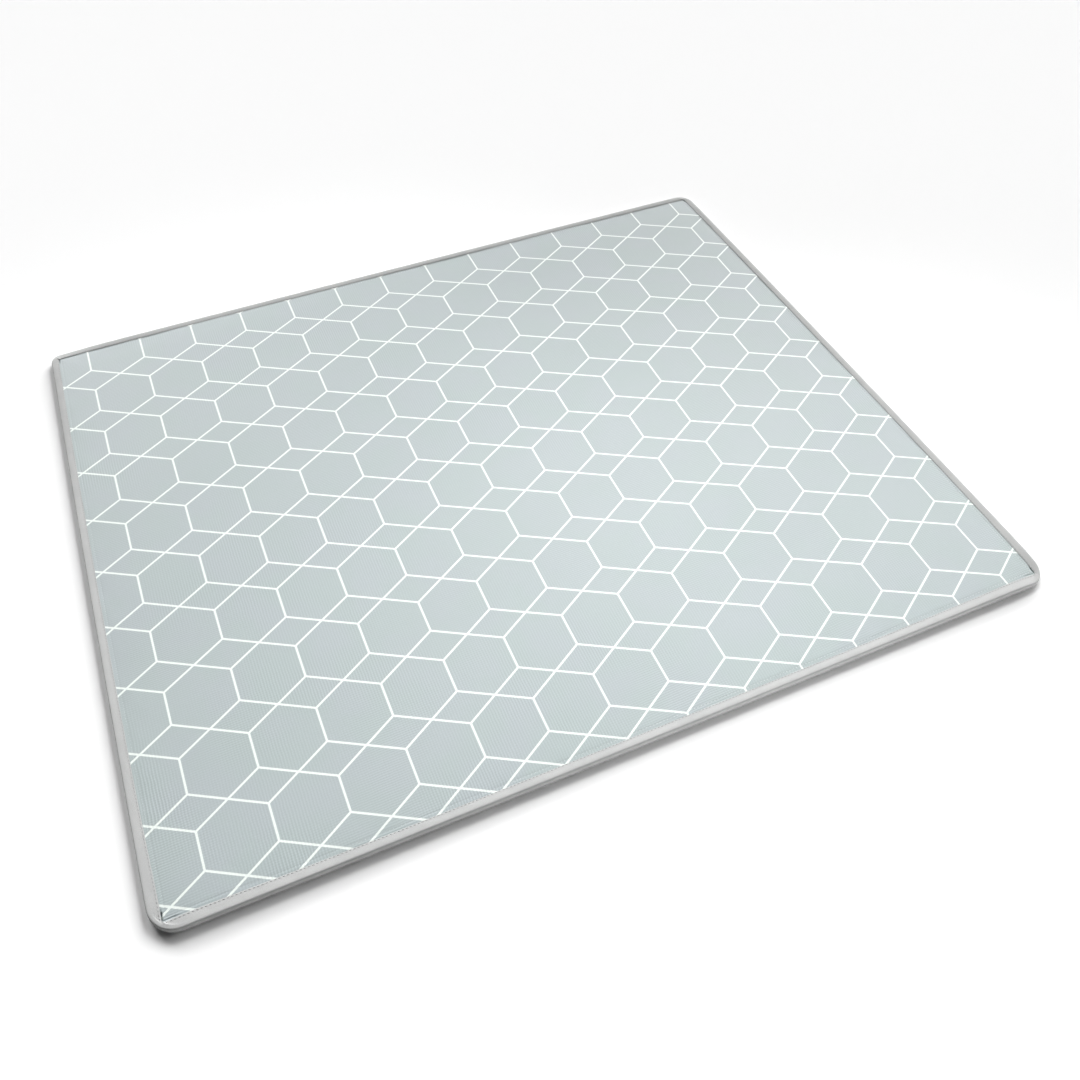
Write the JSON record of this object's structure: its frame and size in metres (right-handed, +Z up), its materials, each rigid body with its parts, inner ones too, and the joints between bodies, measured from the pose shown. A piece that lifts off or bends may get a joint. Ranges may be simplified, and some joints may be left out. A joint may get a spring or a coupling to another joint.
{
  "type": "baby play mat",
  "caption": "Flat padded rectangular floor mat with a printed cover and a folded tape binding sewn round its rim.",
  "frame": {"origin": "middle of the mat's underside, on the floor", "axes": "+X along the long sides to the viewer's right, +Y from the front side to the back, +Z up"},
  "size_m": [1.2, 1, 0.0146],
  "materials": {
    "printed_cover": "fine ribbed woven polyester, matt, pale grey-green with a white printed line lattice",
    "binding_tape": "plain woven tape, matt, light grey, folded over the rim and topstitched"
  },
  "bodies": {
    "root": {"mat_pad": "printed_cover", "edge_binding": "binding_tape"}
  },
  "joints": []
}
